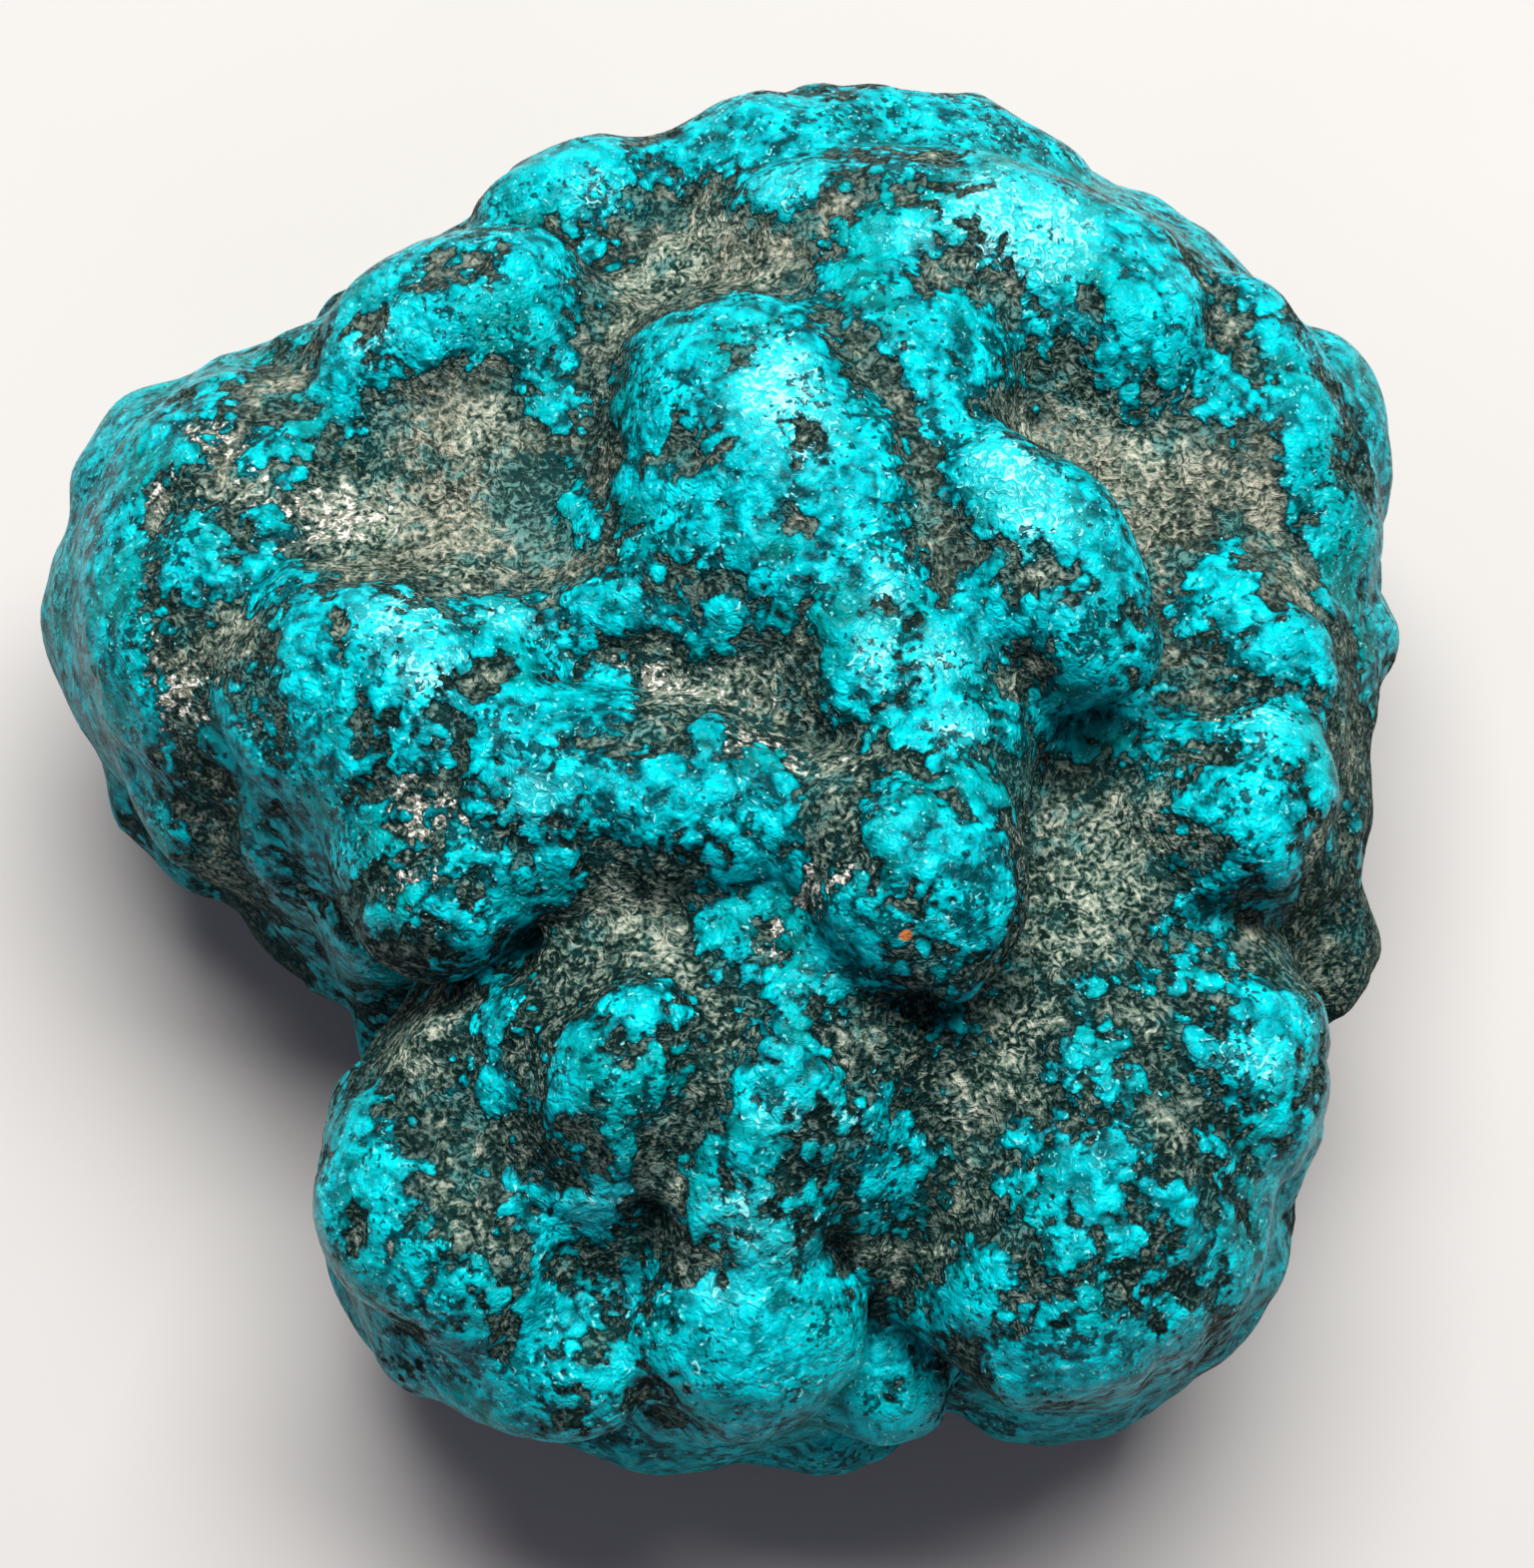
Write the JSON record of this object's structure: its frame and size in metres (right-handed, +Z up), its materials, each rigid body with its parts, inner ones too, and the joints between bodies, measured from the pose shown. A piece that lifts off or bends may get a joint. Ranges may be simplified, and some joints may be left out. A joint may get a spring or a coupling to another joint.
{
  "type": "raw turquoise nugget",
  "caption": "Lobed, knobbly natural nugget of turquoise in grey-brown matrix, wider than tall, resting on a small flat underneath.",
  "frame": {"origin": "middle of the nugget's bounding box, on the ground that it rests on", "axes": "+Z up, +X to the right and +Y away, looking at the side with the notch at its front left"},
  "size_m": [0.0898, 0.0926, 0.0505],
  "materials": {
    "turquoise_in_matrix": "bright turquoise knobs with a waxy polish, standing out of rough, speckled grey-brown and green-black matrix"
  },
  "bodies": {
    "root": {"nugget": "turquoise_in_matrix"}
  },
  "joints": []
}
